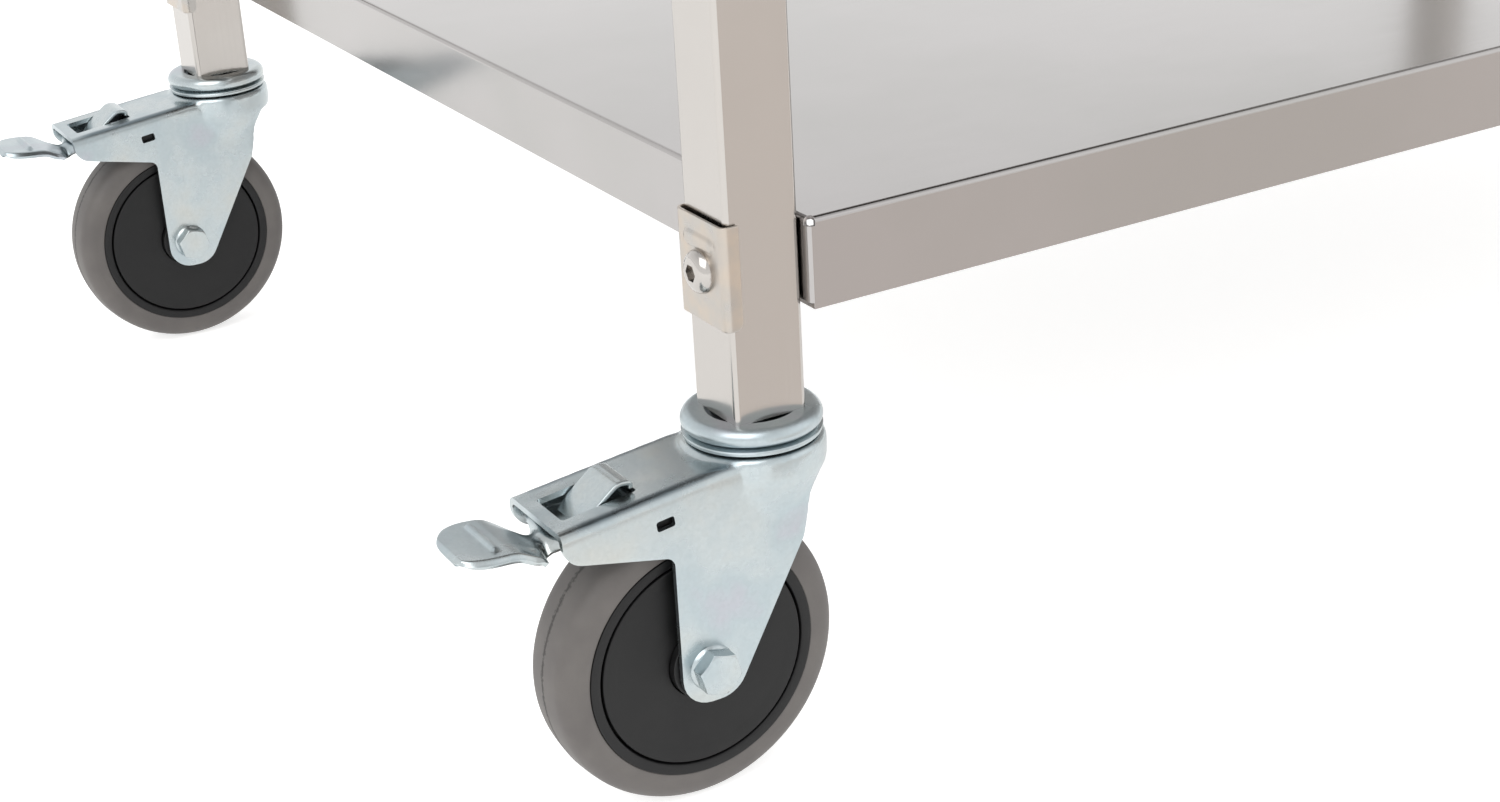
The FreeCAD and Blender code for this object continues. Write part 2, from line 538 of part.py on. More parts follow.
def make_fork(body):
    """One sheet pressed into a drum, an open arm and two cheeks that carry the axle."""
    axle = "-trail"
    extrude(body, "Pad", "XZ_Plane", [
        ("-arm_reach", "arm_tip_height"), ("-arm_root", "arm_root_height"),
        ("cheek_top_back", "arm_root_height"), (axle + " + cheek_back", "cheek_back_height"),
        (axle + " + cheek_foot_back", "cheek_low"), (axle + " - cheek_front", "cheek_low"),
        (axle + " - cheek_front", "arm_low_height"), ("-arm_reach", "arm_tip_height - arm_tip_depth")],
        "fork_wide")
    doc.recompute()
    foot = [vector(axle + end, "0", "cheek_low") for end in (" + cheek_foot_back", " - cheek_front")]
    finish_edges(body, "Fillet", edges_near(body.Tip.Shape, Y, foot), "cheek_round")
    crotch = [vector(axle + " - cheek_front", "0", "arm_low_height")]
    finish_edges(body, "Fillet", edges_near(body.Tip.Shape, Y, crotch), "crotch_round")
    corner = [vector("-arm_reach", "0", "arm_tip_height - arm_tip_depth")]
    finish_edges(body, "Fillet", edges_near(body.Tip.Shape, Y, corner), "arm_corner")
    finish_edges(body, "Fillet", fold_edges(body.Tip.Shape), "fold_round")
    spin(body, "Revolution", "XZ_Plane", [
        ("0", "drum_foot"), ("fork_half - drum_inset", "drum_foot"), ("drum_radius", "drum_skirt"),
        ("drum_radius", "fork_top"), ("0", "fork_top")], "V_Axis")
    doc.recompute()
    rim = rings_near(body.Tip.Shape, [(value("drum_radius"), value("fork_top"))])
    finish_edges(body, "Fillet", rim, "drum_round")
    under_tip = "arm_tip_height - fork_sheet - fold_overlap"
    under_root = "arm_root_height - fork_sheet"
    under_drum = "drum_skirt - drum_skirt_rim"
    far = "2 * drum_radius"
    extrude(body, "Pocket", "XZ_Plane", [
        ("-arm_reach - past", under_tip), ("-arm_root", under_root), ("-drum_open", under_root),
        ("-drum_open", under_drum), (far, under_drum), (far, "0"), ("-arm_reach - past", "0")],
        "2 * fork_inner")
    spin(body, "Groove", "XZ_Plane", [
        ("0", "drum_foot - past"), ("fork_inner - drum_step", "drum_foot - past"),
        ("drum_inner", "drum_skirt"),
        ("drum_inner", "fork_top - fork_sheet"), ("0", "fork_top - fork_sheet")], "V_Axis")
    rod(body, "Subtractive", "z", ("0", "0", "drum_skirt"), "stem_radius + running_fit", "fork_rise")
    slot_half = "(tab_half + slot_gap)"
    box(body, "Subtractive", ("-slot_start", "-slot_end"), ("-" + slot_half, slot_half),
        ("lever_top", "fork_top"))
    box(body, "Subtractive", ("-pin_back - window_long / 2", "-pin_back + window_long / 2"),
        ("-fork_wide", "fork_wide"), ("pin_height - window_tall / 2", "pin_height + window_tall / 2"))
    rod(body, "Subtractive", "y", (axle, "-fork_wide", "wheel_radius"), "bolt_shank + axle_fit",
        "2 * fork_wide")


def fold_edges(shape):
    """The long edges where the arm's top folds down into its two sides."""
    names = []
    for number, edge in enumerate(shape.Edges, start=1):
        middle = edge.CenterOfMass
        on_side = abs(abs(middle.y) - value("fork_half")) < 0.1
        level = edge.BoundBox.XLength > 5 * edge.BoundBox.ZLength
        if on_side and level and middle.z > value("arm_tip_height + past"):
            names.append("Edge%d" % number)
    return names


def make_axle_bolt(body):
    """Flanged hexagon bolt along Y, its head on the cheek at -Y."""
    spin(body, "Revolution", "YZ_Plane", [
        ("-axle_head", "0"), ("-axle_head", "axle_flange - bolt_tip"), ("-fork_half", "axle_flange"),
        ("-fork_half", "bolt_shank"), ("axle_end - bolt_tip", "bolt_shank"),
        ("axle_end", "bolt_shank - bolt_tip"), ("axle_end", "0")], "H_Axis")
    extrude(body, "Pad", "XZ_Plane", hexagon("axle_across"), "axle_head_tall", raised="axle_head",
            middle=False)
    chamfer_hexagon(body, "YZ_Plane", "axle_across", "-axle_head - axle_head_tall", 1)


def make_axle_nut(body):
    extrude(body, "Pad", "XZ_Plane", hexagon("nut_across"), "nut_tall", raised="-fork_half - nut_tall",
            middle=False)
    rod(body, "Subtractive", "y", ("0", "fork_half - past", "0"), "nut_hole", "nut_tall + 2 * past")
    chamfer_hexagon(body, "YZ_Plane", "nut_across", "fork_half + nut_tall", -1)


def make_axle_sleeve(body):
    """The tube between the cheeks that the wheel turns on."""
    half = "(fork_inner - sleeve_fit)"
    rod(body, "Additive", "y", ("0", "-" + half, "0"), "sleeve_radius", "2 * " + half)
    rod(body, "Subtractive", "y", ("0", "-fork_wide", "0"), "bolt_shank + running_fit", "2 * fork_wide")


def make_brake_pin(body):
    rod(body, "Additive", "y", ("-pin_back", "-fork_half", "pin_height"), "pin_radius", "fork_wide")


def make_wheel_hub(body):
    """Moulded hub: a rim for the tyre, a web and a long boss on the sleeve."""
    bore = "(sleeve_radius + running_fit)"
    spin(body, "Revolution", "YZ_Plane", [
        ("-boss_half", bore), ("-boss_half", "boss_radius"), ("-web_thick / 2", "boss_radius"),
        ("-web_thick / 2", "rim_inner"), ("-hub_wide / 2", "rim_inner"), ("-hub_wide / 2", "hub_radius"),
        ("hub_wide / 2", "hub_radius"), ("hub_wide / 2", "rim_inner"), ("web_thick / 2", "rim_inner"),
        ("web_thick / 2", "boss_radius"), ("boss_half", "boss_radius"), ("boss_half", bore)], "H_Axis")
    doc.recompute()
    rims = [(value("rim_inner"), value(sign + "hub_wide / 2")) for sign in ("", "-")]
    finish_edges(body, "Chamfer", rings_near(body.Tip.Shape, rims, reach=0.1), "rim_bevel")


def make_tyre(body):
    """Soft tread band with rounded shoulders, bonded to the hub's rim."""
    spin(body, "Revolution", "YZ_Plane", [
        ("-tyre_half", "hub_radius"), ("-tyre_half", "wheel_radius"), ("tyre_half", "wheel_radius"),
        ("tyre_half", "hub_radius")], "H_Axis")
    doc.recompute()
    shoulders = [(value("wheel_radius"), value(sign + "tyre_half")) for sign in ("", "-")]
    finish_edges(body, "Fillet", rings_near(body.Tip.Shape, shoulders), "tyre_round")


def make_dust_covers(label, centre, turn):
    """A thin disc pressed into each face of the hub, with a shallow step at its rim."""
    master = make_body(label + "_piece", node=False)
    face = "(hub_wide / 2)"
    spin(master, "Revolution", "YZ_Plane", [
        (face + " - cover_sheet", "cover_hole"), (face + " - cover_sheet", "cover_radius"),
        (face + " - cover_edge", "cover_radius"), (face, "cover_radius - cover_edge"), (face, "cover_hole")],
        "H_Axis")
    doc.recompute()
    x, y, z = centre
    group(label, master, [(x, y, z, turn), (x, y, z, turn + 180)])


def make_brake_pedal(body):
    """Foot pedal with a raised rib, a neck and a lever that ends in an eye on the pin."""
    extrude(body, "Pad", "XZ_Plane", [
        ("-pin_back", "lever_low"), ("-lever_bend", "lever_low"), ("-pedal_reach", "lever_low + pedal_rise"),
        ("-pedal_reach", "lever_top + pedal_rise"), ("-lever_bend", "lever_top"), ("-pin_back", "lever_top")],
        "2 * pedal_half")
    beyond = "pedal_half + past"
    for sign in ("", "-"):
        side = [("-pedal_reach - past", beyond), ("-pedal_reach - past", "pedal_tip_half - past"),
                ("-pedal_reach + pedal_tip", "pedal_half"), ("-pedal_shoulder", "pedal_half"),
                ("-pedal_neck", "pedal_neck_half"), ("-pedal_neck_end", "pedal_neck_half"),
                ("-lever_start", "lever_half"), ("-pin_back + past", "lever_half"), ("-pin_back + past", beyond)]
        corners = [(across, "%s(%s)" % (sign, up)) for across, up in side]
        extrude(body, "Pocket", "XY_Plane", corners, "4 * pedal_rise + lever_sheet", raised="lever_low")
    doc.recompute()
    tips = [vector("-pedal_reach + pedal_tip", sign + "pedal_half", "lever_top") for sign in ("", "-")]
    finish_edges(body, "Fillet", edges_near(body.Tip.Shape, Z, tips, reach=3), "pedal_corner")
    box(body, "Additive", ("-rib_back - rib_wide", "-rib_back"), ("-rib_half", "rib_half"),
        ("lever_top", "lever_top + rib_rise + rib_tall"))
    rod(body, "Additive", "y", ("-pin_back", "-lever_half", "pin_height"), "pin_radius + eye_wall",
        "2 * lever_half")
    rod(body, "Subtractive", "y", ("-pin_back", "-fork_wide", "pin_height"), "pin_radius + running_fit",
        "2 * fork_wide")


def make_release_tab(body):
    """Bent strip that rises through the slot in the arm; it stands on the lever."""
    knee = "tab_top - tab_knee_drop"
    extrude(body, "Pad", "XZ_Plane", [
        ("-tab_back", "lever_top"), ("-tab_knee", knee), ("-tab_crest", "tab_top"), ("-tab_end", "tab_top"),
        ("-tab_end", "tab_top - tab_curl"), ("-tab_end - tab_sheet", "tab_top - tab_curl"),
        ("-tab_end - tab_sheet", "tab_under"), ("-tab_crest", "tab_under"), ("-tab_knee", knee + " - tab_foot"),
        ("-tab_back + tab_foot", "lever_top")], "2 * tab_half")


def make_brake_shoe(body):
    box(body, "Additive", ("-shoe_start", "-shoe_end"), ("-shoe_half", "shoe_half"),
        ("shoe_low", "lever_low"))


AT_SWIVEL = [("fork", make_fork), ("brake_pin", make_brake_pin), ("brake_pedal", make_brake_pedal),
             ("release_tab", make_release_tab), ("brake_shoe", make_brake_shoe)]
AT_AXLE = [("axle_bolt", make_axle_bolt), ("axle_nut", make_axle_nut), ("axle_sleeve", make_axle_sleeve),
           ("wheel_hub", make_wheel_hub), ("tyre", make_tyre)]


def make_caster(name, side_x, side_y):
    """All the moving pieces of one caster; the arm points out past the end of the cart."""
    turn = 0 if side_x < 0 else 180
    x = "%d * leg_span_x / 2" % side_x
    y = "%d * leg_span_y / 2" % side_y
    axle_x = "%d * (leg_span_x / 2 + trail)" % side_x
    for label, build in AT_SWIVEL:
        body = make_body(name + "_" + label)
        build(body)
        place(body, x, y, "0", turn)
    for label, build in AT_AXLE:
        body = make_body(name + "_" + label)
        build(body)
        place(body, axle_x, y, "wheel_radius", turn)
    make_dust_covers(name + "_dust_covers", (axle_x, y, "wheel_radius"), turn)


def check_and_write():
    doc.recompute()
    for item in doc.Objects:
        if "Invalid" in item.State or "Error" in item.State:
            raise RuntimeError("%s failed: %s" % (item.Label, item.State))
    os.makedirs("parts", exist_ok=True)
    for node in nodes:
        if node.Shape.isNull() or not node.Shape.isValid() or not node.Shape.Solids:
            raise RuntimeError(node.Label + " has no valid shape")
    for node in nodes:
        node.Shape.exportStep(os.path.join("parts", node.Label + ".step"))
        print("%-28s %3d solids %12.1f mm3" % (node.Label, len(node.Shape.Solids), node.Shape.Volume))
    print(len(nodes), "nodes")


make_worktop()
make_channels()
make_stiffener()
make_shelf("middle_shelf", "mid_shelf_height")
make_shelf("bottom_shelf", "low_shelf_height")
for corner in CORNERS:
    make_leg(*corner)
make_clips()
make_frame_bolts()
make_frame_nuts()
make_leg_inserts()
make_swivel_cups()
make_caster_stems()
make_swivel_balls()
for corner in CORNERS:
    make_caster(*corner)
check_and_write()
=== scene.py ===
import json
import math

import bpy
from mathutils import Matrix, Quaternion, Vector
from mathutils.geometry import intersect_point_line


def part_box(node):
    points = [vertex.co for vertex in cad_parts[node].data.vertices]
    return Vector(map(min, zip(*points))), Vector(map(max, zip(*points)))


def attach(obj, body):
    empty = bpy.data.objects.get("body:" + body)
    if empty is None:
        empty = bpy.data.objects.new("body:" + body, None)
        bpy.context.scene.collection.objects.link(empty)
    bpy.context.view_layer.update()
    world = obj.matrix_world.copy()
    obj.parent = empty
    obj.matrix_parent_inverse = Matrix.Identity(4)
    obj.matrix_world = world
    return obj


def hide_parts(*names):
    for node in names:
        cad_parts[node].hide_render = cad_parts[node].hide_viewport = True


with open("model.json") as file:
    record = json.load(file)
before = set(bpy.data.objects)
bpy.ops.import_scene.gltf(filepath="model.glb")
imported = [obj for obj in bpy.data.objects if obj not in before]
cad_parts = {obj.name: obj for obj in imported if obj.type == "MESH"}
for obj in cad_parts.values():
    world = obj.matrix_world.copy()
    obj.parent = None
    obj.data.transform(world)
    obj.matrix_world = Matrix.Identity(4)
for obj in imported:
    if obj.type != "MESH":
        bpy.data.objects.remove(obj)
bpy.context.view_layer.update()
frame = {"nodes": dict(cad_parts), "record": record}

print("frame loaded")

mm = 0.001
corners = ["front_left", "front_right", "rear_left", "rear_right"]


def middleOf(node):
    low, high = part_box(node)
    return (low + high) / 2


def swivelAxis(corner):  # where a caster's swivel axis meets the floor
    middle = middleOf(corner + "_leg")
    return Vector((middle.x, middle.y, 0))


# casters are modelled here, the brake arm towards -X, then copied to the other corners
home = swivelAxis("front_left")


# camera, floor and light

# place, lens and sensor in mm, angles in degrees, nearest in metres
cameraView = {"place": (-738.6, -845.3, 425.4), "heading": 29.51, "tilt": -23.53, "roll": 3.15,
              "lens": 58.17, "sensor": 36, "nearest": 0.01}


def makeCamera():
    heading, tilt = math.radians(cameraView["heading"]), math.radians(cameraView["tilt"])
    ahead = Vector((math.sin(heading) * math.cos(tilt), math.cos(heading) * math.cos(tilt), math.sin(tilt)))
    turn = ahead.to_track_quat("-Z", "Y") @ Quaternion((0, 0, 1), -math.radians(cameraView["roll"]))
    bpy.ops.object.camera_add(location=Vector(cameraView["place"]) * mm, rotation=turn.to_euler())
    camera = bpy.context.object
    camera.name = "camera"
    camera.data.lens = cameraView["lens"]
    camera.data.sensor_width = cameraView["sensor"]
    camera.data.clip_start = cameraView["nearest"]
    bpy.context.scene.camera = camera


def linearColour(hexText):  # sRGB hex to the linear values that the shaders take
    parts = [int(hexText[i:i + 2], 16) / 255 for i in (1, 3, 5)]
    return tuple(c / 12.92 if c <= 0.04045 else ((c + 0.055) / 1.055) ** 2.4 for c in parts) + (1,)


def addNode(tree, kind, settings=None, links=None):
    # settings: a property's or an input's name to its value; links: an input's name or number to an output
    node = tree.nodes.new(kind)
    for name, setting in (settings or {}).items():
        if hasattr(node, name):
            setattr(node, name, setting)
        else:
            node.inputs[name].default_value = setting
    for name, socket in (links or {}).items():
        tree.links.new(socket, node.inputs[name])
    return node


def newMaterial(name, settings):
    material = bpy.data.materials.new(name)
    material.use_nodes = True
    tree = material.node_tree
    shader = tree.nodes["Principled BSDF"]
    for key, setting in settings.items():
        shader.inputs[key].default_value = setting
    return material, tree, shader


def ramp(tree, factor, stops):
    node = addNode(tree, "ShaderNodeValToRGB", links={"Fac": factor})
    elements = node.color_ramp.elements
    for index, (place, shade) in enumerate(stops):
        element = elements[index] if index < 2 else elements.new(place)
        element.position = place
        element.color = linearColour(shade) if isinstance(shade, str) else (shade, shade, shade, 1)
    return node.outputs["Color"]


# skyGlow: (height of the direction looked in, glow there); the walls of the tent glow more than its roof
studio = {"floor": "#D8D8D7", "floorSize": 60, "floorRough": 0.9, "floorShine": 0.1, "glow": 0.66,
          "sky": 1.25, "skyGlow": [(0.24, 1.0), (0.85, 0.68), (0.34, 0.92), (0.55, 0.9)],
          "card": (0.97, 0.9, 0.85), "cardBox": ((-0.42, -2.6), (2.6, -0.47)), "cardLift": 0.001}
# metres and watts
lamps = {"keyLight": {"place": (-2.2, -1.6, 3.0), "aim": (0, 0, 0.4), "size": 3.0, "power": 62},
         "fillLight": {"place": (2.6, -2.4, 2.2), "aim": (0, 0, 0.4), "size": 3.0, "power": 8}}


def makeStudio():
    # the floor glows a little, like a light table, so that shadows stay faint
    floorPaint = newMaterial("paleStudioFloor", {
        "Base Color": linearColour(studio["floor"]), "Roughness": studio["floorRough"],
        "Specular IOR Level": studio["floorShine"], "Emission Color": (1, 1, 1, 1),
        "Emission Strength": studio["glow"]})[0]
    bpy.ops.mesh.primitive_plane_add(size=studio["floorSize"])
    floor = bpy.context.object
    floor.name = "floor"
    floor.data.materials.append(floorPaint)
    # a warm card low in front, seen only in reflections: steel that faces the front is darker and warmer
    cardPaint = newMaterial("warmCard", {
        "Base Color": (0, 0, 0, 1), "Emission Color": studio["card"] + (1,), "Emission Strength": 1})[0]
    (x0, y0), (x1, y1) = studio["cardBox"]
    bpy.ops.mesh.primitive_plane_add(size=1, location=((x0 + x1) / 2, (y0 + y1) / 2, studio["cardLift"]))
    card = bpy.context.object
    card.name = "reflectionCard"
    card.scale = (x1 - x0, y1 - y0, 1)
    card.data.materials.append(cardPaint)
    card.visible_camera = card.visible_diffuse = card.visible_shadow = False
    world = bpy.data.worlds.new("softSky")
    bpy.context.scene.world = world
    world.use_nodes = True
    tree = world.node_tree
    background = tree.nodes["Background"]
    background.inputs["Strength"].default_value = studio["sky"]
    towards = addNode(tree, "ShaderNodeTexCoord").outputs["Generated"]
    height = addNode(tree, "ShaderNodeSeparateXYZ", links={"Vector": towards}).outputs["Z"]
    tree.links.new(ramp(tree, height, studio["skyGlow"]), background.inputs["Color"])
    bpy.context.scene.view_settings.view_transform = "Standard"
    for name, lampLook in lamps.items():
        place, aim = Vector(lampLook["place"]), Vector(lampLook["aim"])
        bpy.ops.object.light_add(type="AREA", location=place)
        lamp = bpy.context.object
        lamp.name = name
        lamp.data.size = lampLook["size"]
        lamp.data.energy = lampLook["power"]
        lamp.rotation_euler = (aim - place).to_track_quat("-Z", "Y").to_euler()


makeCamera()
makeStudio()
print("camera and studio ready")

# materials: pattern sizes and bump depths are in mm, and a scale is one over the size in metres


def perMetre(size):
    return 1 / (size * mm)


def placeIn(tree):
    return addNode(tree, "ShaderNodeTexCoord").outputs["Object"]


def noise(tree, place, size, detail, roughness=0.5):
    settings = {"Scale": perMetre(size), "Detail": detail, "Roughness": roughness}
    return addNode(tree, "ShaderNodeTexNoise", settings, {"Vector": place}).outputs["Fac"]


def feed(tree, shader, socketName, factor, stops):
    tree.links.new(ramp(tree, factor, stops), shader.inputs[socketName])


def softBump(tree, shader, height, strength, distance):
    bump = addNode(tree, "ShaderNodeBump", {"Strength": strength, "Distance": distance * mm},
                   {"Height": height})
    tree.links.new(bump.outputs["Normal"], shader.inputs["Normal"])


steelLook = {"smudgeSize": 160, "grainSize": 1.4, "grainLength": 70, "waveSize": 180, "waveDeep": 0.1,
             "waveStrength": 0.5}
sheetLook = {"along": "x", "clean": "#A9A6A5", "smudge": "#A4A2A0", "rough": 0.15}
tubeLook = {"along": "z", "clean": "#B5B1AD", "smudge": "#B0ACA8", "rough": 0.17}


def polishedSteel(name, look):
    # stainless sheet with a buffed finish: nearly a mirror, with a faint long grain, a slow wave left by
    # rolling and bending, and thin smudges of grease
    rough = look["rough"]
    material, tree, shader = newMaterial(name, {"Metallic": 1, "Roughness": rough})
    place = placeIn(tree)
    smudge = noise(tree, place, steelLook["smudgeSize"], 5.0, 0.6)
    feed(tree, shader, "Base Color", smudge, [(0.42, look["clean"]), (0.66, look["smudge"])])
    stretch = [perMetre(steelLook["grainLength" if axis == look["along"] else "grainSize"])
               for axis in "xyz"]
    placed = addNode(tree, "ShaderNodeMapping", {"Scale": stretch}, {"Vector": place})
    grain = addNode(tree, "ShaderNodeTexNoise", {"Scale": 1.0, "Detail": 3.0},
                    {"Vector": placed.outputs["Vector"]})
    both = addNode(tree, "ShaderNodeMix", {"data_type": "FLOAT"},
                   {0: smudge, 2: grain.outputs["Fac"], 3: smudge})
    feed(tree, shader, "Roughness", both.outputs[0], [(0.35, rough * 0.9), (0.7, rough * 1.25)])
    wave = noise(tree, place, steelLook["waveSize"], 1.0)
    softBump(tree, shader, wave, steelLook["waveStrength"], steelLook["waveDeep"])
    return material


sheetSteel = polishedSteel("buffedStainlessSheet", sheetLook)
tubeSteel = polishedSteel("buffedStainlessTube", tubeLook)

# the dark fold colour is a painted reflection: the arm's fold mirrors the shelf's dark underside
zincLook = {"blue": "#AEB9BD", "white": "#B6BEC0", "straw": "#BABDBA", "violet": "#B3B6BD",
            "foldReflection": "#56646D", "rough": 0.27, "cloudSize": 30, "spangleSize": 1.1, "spangleDark": 0.93,
            "pitSize": 0.5, "pitStrength": 0.12, "pitDeep": 0.05}


def zincPlate():
    # bright zinc plating with a clear passivate on pressed steel: bluish white, with cloudy straw and
    # violet patches and a fine spangle that breaks the shine
    look = zincLook
    rough = look["rough"]
    material, tree, shader = newMaterial("passivatedZincPlate", {"Metallic": 1, "Roughness": rough})
    place = placeIn(tree)
    cloud = noise(tree, place, look["cloudSize"], 4.0, 0.55)
    tint = ramp(tree, cloud, [(0.3, look["violet"]), (0.42, look["blue"]), (0.55, look["white"]),
                              (0.72, look["straw"])])
    spangle = addNode(tree, "ShaderNodeTexVoronoi", {"Scale": perMetre(look["spangleSize"])},
                      {"Vector": place})
    flecks = ramp(tree, spangle.outputs["Color"], [(0.0, look["spangleDark"]), (1.0, 1.0)])
    mixed = addNode(tree, "ShaderNodeMix", {"data_type": "RGBA", "blend_type": "MULTIPLY", "Factor": 1.0},
                    {6: tint, 7: flecks})
    # painted reflection: a dark blue-grey band along the arm's near fold stands for the shelf's dark
    # underside mirrored there; the fork carries where it goes as an attribute
    foldReflectionMask = addNode(tree, "ShaderNodeAttribute", {"attribute_name": "foldReflection"})
    reflectionMixed = addNode(tree, "ShaderNodeMix", {"data_type": "RGBA"},
                   {0: foldReflectionMask.outputs["Fac"], 6: mixed.outputs[2]})
    reflectionMixed.inputs[7].default_value = linearColour(look["foldReflection"])
    tree.links.new(reflectionMixed.outputs[2], shader.inputs["Base Color"])
    feed(tree, shader, "Roughness", cloud, [(0.35, rough * 1.25), (0.65, rough * 0.8)])
    softBump(tree, shader, noise(tree, place, look["pitSize"], 2.0), look["pitStrength"], look["pitDeep"])
    return material


zinc = zincPlate()

rubberLook = {"body": "#565250", "pale": "#5E5A57", "dark": "#2B2826", "rough": 0.55, "cloudSize": 12,
              "grainSize": 0.35, "grainStrength": 0.25, "grainDeep": 0.06, "seamWide": 2.6,
              "speckSize": 1.3, "scuff": 0.8}


def greyRubber():
    # moulded thermoplastic rubber, satin and faintly cloudy, with a scuffed mould line round the tread
    look = rubberLook
    material, tree, shader = newMaterial("mouldedGreyRubber", {"Roughness": look["rough"], "IOR": 1.5})
    place = placeIn(tree)
    cloud = noise(tree, place, look["cloudSize"], 4.0)
    tint = ramp(tree, cloud, [(0.35, look["body"]), (0.7, look["pale"])])
    # both rows of wheels are the same distance from the middle, so the seam is where |y| has that value
    across = addNode(tree, "ShaderNodeSeparateXYZ", links={"Vector": place}).outputs["Y"]
    row = addNode(tree, "ShaderNodeMath", {"operation": "ABSOLUTE"}, {0: across})
    away = addNode(tree, "ShaderNodeMath", {"operation": "SUBTRACT"}, {0: row.outputs[0]})
    away.inputs[1].default_value = abs(middleOf("front_left_tyre").y)
    near = addNode(tree, "ShaderNodeMath", {"operation": "ABSOLUTE"}, {0: away.outputs[0]})
    band = addNode(tree, "ShaderNodeMapRange", {"From Min": look["seamWide"] * mm, "From Max": 0.0},
                   {"Value": near.outputs[0]})
    speck = noise(tree, place, look["speckSize"], 3.0)
    chance = addNode(tree, "ShaderNodeMath", {"operation": "MULTIPLY"}, {0: band.outputs[0], 1: speck})
    scuff = ramp(tree, chance.outputs[0], [(0.3, 0.0), (0.44, look["scuff"])])
    mixed = addNode(tree, "ShaderNodeMix", {"data_type": "RGBA"}, {0: scuff, 6: tint})
    mixed.inputs[7].default_value = linearColour(look["dark"])
    tree.links.new(mixed.outputs[2], shader.inputs["Base Color"])
    softBump(tree, shader, noise(tree, place, look["grainSize"], 2.0), look["grainStrength"],
             look["grainDeep"])
    return material


tyreRubber = greyRubber()

nylonLook = {"body": "#0A0A0B", "worn": "#111112", "rough": 0.5, "cloudSize": 14, "grainSize": 0.4,
             "grainStrength": 0.15, "grainDeep": 0.05}


def blackNylon():
    # moulded black nylon: satin skin with a fine moulded grain, slightly grey where it has been handled
    look = nylonLook
    rough = look["rough"]
    material, tree, shader = newMaterial("mouldedBlackNylon", {"Roughness": rough, "IOR": 1.4})
    place = placeIn(tree)
    cloud = noise(tree, place, look["cloudSize"], 5.0)
    feed(tree, shader, "Base Color", cloud, [(0.4, look["body"]), (0.75, look["worn"])])
    feed(tree, shader, "Roughness", cloud, [(0.3, rough * 0.85), (0.7, rough * 1.2)])
    softBump(tree, shader, noise(tree, place, look["grainSize"], 2.0), look["grainStrength"],
             look["grainDeep"])
    return material


hubNylon = blackNylon()

bearingLook = {"dark": "#8F8F90", "bright": "#A9A9A8", "rough": 0.2, "lineSize": 0.6}


def groundSteel():
    # hardened and ground bearing steel, oiled: darker than the sheet and finely lined
    look = bearingLook
    material, tree, shader = newMaterial("groundBearingSteel", {"Metallic": 1, "Roughness": look["rough"]})
    lines = noise(tree, placeIn(tree), look["lineSize"], 3.0)
    feed(tree, shader, "Base Color", lines, [(0.3, look["dark"]), (0.7, look["bright"])])
    return material


bearingSteel = groundSteel()

# painted shade: the pin shows only through the side windows and is coloured near black so that they look
# dark
pinShadeLook = {"body": "#141517", "rubbed": "#221F1D", "metal": 0.4, "rough": 0.5, "rubSize": 3}


def windowShadePinSteel():
    # painted shade: nearly black satin steel for the pin, so that the side windows where it shows look
    # dark; a little browner in random patches
    look = pinShadeLook
    material, tree, shader = newMaterial("nearBlackWindowShade",
                                         {"Metallic": look["metal"], "Roughness": look["rough"]})
    rubbed = noise(tree, placeIn(tree), look["rubSize"], 4.0)
    feed(tree, shader, "Base Color", rubbed, [(0.4, look["body"]), (0.7, look["rubbed"])])
    return material


windowShadeSteel = windowShadePinSteel()

clipLook = {"clean": "#B9AEA2", "dull": "#A9A7A4", "rough": 0.34, "cloudSize": 13, "pitSize": 0.7,
            "pitStrength": 0.12, "pitDeep": 0.04}


def tumbledSteel():
    # small stainless pressing, tumbled and not buffed: satin, with a creamy heat tint and a pitted skin
    look = clipLook
    rough = look["rough"]
    material, tree, shader = newMaterial("tumbledStainless", {"Metallic": 1})
    place = placeIn(tree)
    cloud = noise(tree, place, look["cloudSize"], 3.0)
    feed(tree, shader, "Base Color", cloud, [(0.35, look["clean"]), (0.65, look["dull"])])
    feed(tree, shader, "Roughness", cloud, [(0.35, rough), (0.65, rough * 0.75)])
    softBump(tree, shader, noise(tree, place, look["pitSize"], 2.0), look["pitStrength"], look["pitDeep"])
    return material


clipSteel = tumbledSteel()
print("materials ready")

# modelling helpers: gaps in mm, angles in degrees

weldGap = {"cad": 0.005, "spun": 0.002}
easeLook = {"flat": 0.4, "smooth": 50, "weight": 80}


def pickOnly(piece):
    bpy.ops.object.select_all(action="DESELECT")
    piece.select_set(True)
    bpy.context.view_layer.objects.active = piece


def editAll(piece):
    pickOnly(piece)
    bpy.ops.object.mode_set(mode="EDIT")
    bpy.ops.mesh.select_all(action="SELECT")


def looseCopy(node, name):  # a CAD node's shape as a new piece, its doubled corners merged
    piece = bpy.data.objects.new(name, frame["nodes"][node].data.copy())
    bpy.context.scene.collection.objects.link(piece)
    editAll(piece)
    bpy.ops.mesh.remove_doubles(threshold=weldGap["cad"] * mm)
    bpy.ops.object.mode_set(mode="OBJECT")
    return piece


def useModifier(piece, kind, settings):
    pickOnly(piece)
    bpy.ops.object.modifier_add(type=kind)
    modifier = piece.modifiers[-1]
    for key, setting in settings.items():
        setattr(modifier, key, setting)
    bpy.ops.object.modifier_apply(modifier=modifier.name)


def smoothBelow(piece, degrees):
    pickOnly(piece)
    bpy.ops.object.shade_smooth_by_angle(angle=math.radians(degrees))


def easeEdges(piece, width, degrees=32):
    # real edges are never sharp: a small round on each, with the flat faces kept flat
    editAll(piece)
    bpy.ops.mesh.dissolve_limited(angle_limit=math.radians(easeLook["flat"]))
    bpy.ops.object.mode_set(mode="OBJECT")
    useModifier(piece, "BEVEL", {"width": width * mm, "segments": 2, "limit_method": "ANGLE",
                                 "angle_limit": math.radians(degrees), "use_clamp_overlap": True})
    smoothBelow(piece, easeLook["smooth"])
    useModifier(piece, "WEIGHTED_NORMAL", {"weight": easeLook["weight"], "keep_sharp": True})


